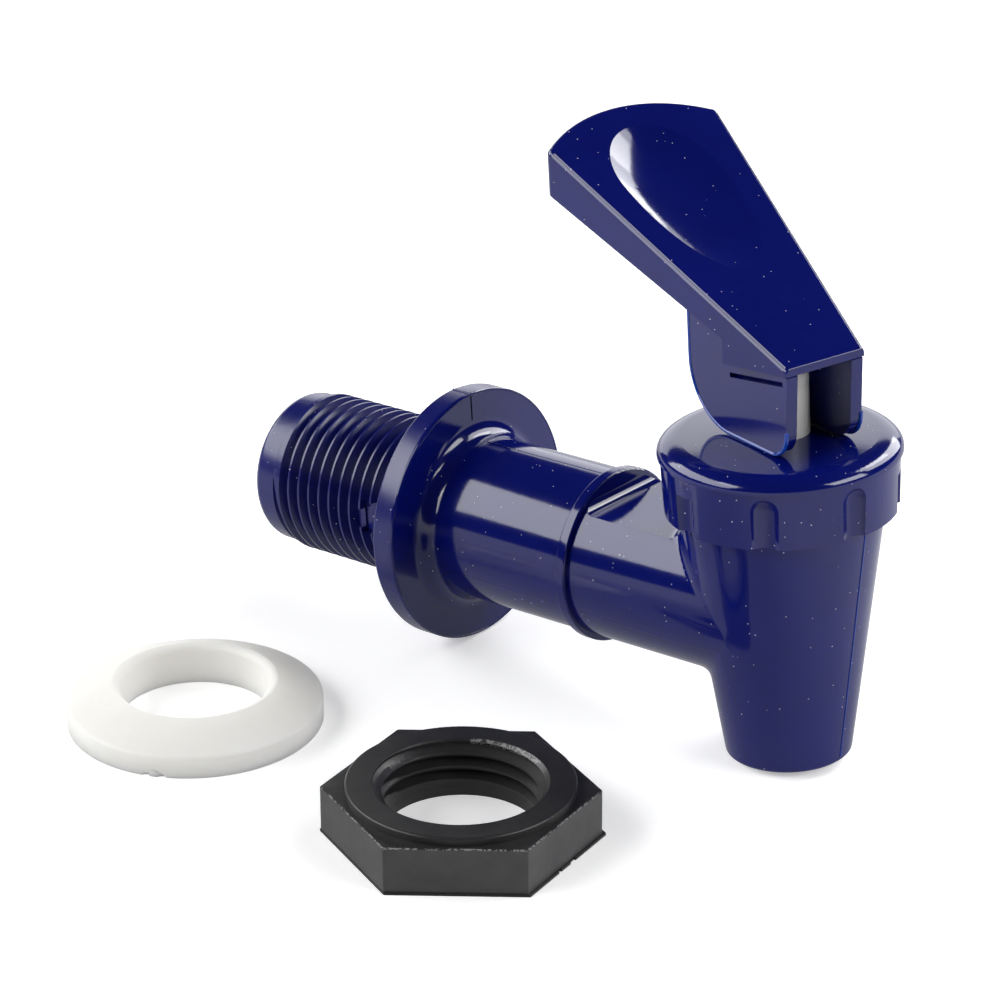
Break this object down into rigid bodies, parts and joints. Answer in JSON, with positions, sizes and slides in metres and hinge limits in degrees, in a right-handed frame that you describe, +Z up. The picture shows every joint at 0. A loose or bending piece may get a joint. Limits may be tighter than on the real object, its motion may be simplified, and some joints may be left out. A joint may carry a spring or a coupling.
{
  "type": "dispenser tap",
  "caption": "Self-closing dispenser tap: threaded shank, flange, tube and tapered spout under a fluted cap, worked by a paddle lever; its sealing washer and hexagon lock nut lie beside it.",
  "frame": {"origin": "centre of the flange's seat face, on the shank's axis", "axes": "+Y along the shank, away from the spout; +Z up, towards the lever; the spout points down -Z"},
  "size_m": [0.0786, 0.0954, 0.0752],
  "materials": {
    "blue_plastic": "gloss moulding",
    "natural_plastic": "natural white moulding",
    "black_plastic": "satin moulding",
    "ivory_rubber": "soft matte",
    "silicone": "soft matte",
    "spring_steel": "drawn wire"
  },
  "bodies": {
    "tap": {"tap_body": "blue_plastic", "bonnet_cap": "blue_plastic", "cap_gasket": "silicone", "sealing_washer": "ivory_rubber", "lock_nut": "black_plastic"},
    "plug": {"seat_plug": "silicone", "return_spring": "spring_steel"},
    "stem": {"valve_stem": "natural_plastic", "stem_o_ring": "silicone"},
    "lever": {"lever": "blue_plastic"}
  },
  "joints": [
    {"name": "stem_lift", "type": "slide", "parent": "tap", "child": "plug", "axis": [0, 0, 1], "range_m": [0, 0.00204], "deforming": ["return_spring"]},
    {"name": "lever_swivel", "type": "hinge", "parent": "plug", "child": "stem", "pos_m": [0, -0.053, 0], "axis": [0, 0, 1], "continuous": true},
    {"name": "lever_tilt", "type": "hinge", "parent": "stem", "child": "lever", "pos_m": [0, -0.053, 0.0286], "axis": [-0.9593, 0.2823, 0], "range_deg": [0, 40], "stiffness_Nm_per_rad": 0.012, "springref_deg": -114.59}
  ],
  "couplings": [
    {"joint": "stem_lift", "follows": "lever_tilt", "m_per_rad": 0.002917}
  ]
}
